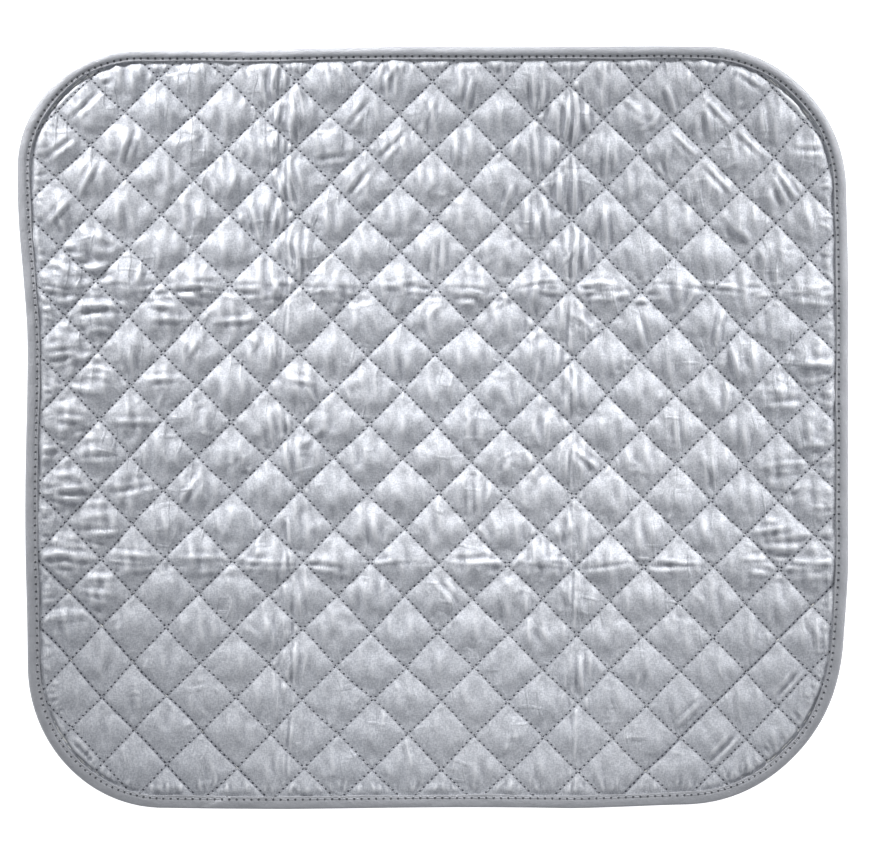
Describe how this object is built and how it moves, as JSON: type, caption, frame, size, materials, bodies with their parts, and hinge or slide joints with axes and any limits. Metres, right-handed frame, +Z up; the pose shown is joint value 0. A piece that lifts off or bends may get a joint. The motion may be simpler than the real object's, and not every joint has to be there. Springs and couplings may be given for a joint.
{
  "type": "quilted folding pad",
  "caption": "Thin, nearly square folding pad: silver-coated face, foam core and backing cloth quilted in diamonds, rounded corners, taped edge; folds in three like a letter.",
  "frame": {"origin": "middle of the outline, on the underside that lies on the floor", "axes": "+X along the long side to the right, +Y along the short side to the far edge, +Z up out of the silver face"},
  "size_m": [0.6, 0.552, 0.007],
  "materials": {
    "silver_cloth": "satin silver-coated plain weave",
    "foam": "matt open foam",
    "backing_cloth": "matt plain weave",
    "binding_tape": "satin woven tape",
    "thread": "matt twisted thread"
  },
  "bodies": {
    "middle_panel": {"face_cloth_middle": "silver_cloth", "foam_core_middle": "foam", "backing_cloth_middle": "backing_cloth", "edge_binding_middle": "binding_tape", "needle_thread_rising_middle": "thread", "needle_thread_falling_middle": "thread", "bobbin_thread_rising_middle": "thread", "bobbin_thread_falling_middle": "thread", "binding_needle_thread_middle": "thread", "binding_bobbin_thread_middle": "thread"},
    "left_panel": {"face_cloth_left": "silver_cloth", "foam_core_left": "foam", "backing_cloth_left": "backing_cloth", "edge_binding_left": "binding_tape", "needle_thread_rising_left": "thread", "needle_thread_falling_left": "thread", "bobbin_thread_rising_left": "thread", "bobbin_thread_falling_left": "thread", "binding_needle_thread_left": "thread", "binding_bobbin_thread_left": "thread"},
    "right_panel": {"face_cloth_right": "silver_cloth", "foam_core_right": "foam", "backing_cloth_right": "backing_cloth", "edge_binding_right": "binding_tape", "needle_thread_rising_right": "thread", "needle_thread_falling_right": "thread", "bobbin_thread_rising_right": "thread", "bobbin_thread_falling_right": "thread", "binding_needle_thread_right": "thread", "binding_bobbin_thread_right": "thread"}
  },
  "joints": [
    {"name": "left_fold", "type": "hinge", "parent": "middle_panel", "child": "left_panel", "pos_m": [-0.1, 0, 0.0075], "axis": [0, 1, 0], "range_deg": [0, 180]},
    {"name": "right_fold", "type": "hinge", "parent": "middle_panel", "child": "right_panel", "pos_m": [0.1, 0, 0.0115], "axis": [0, -1, 0], "range_deg": [0, 180]}
  ]
}
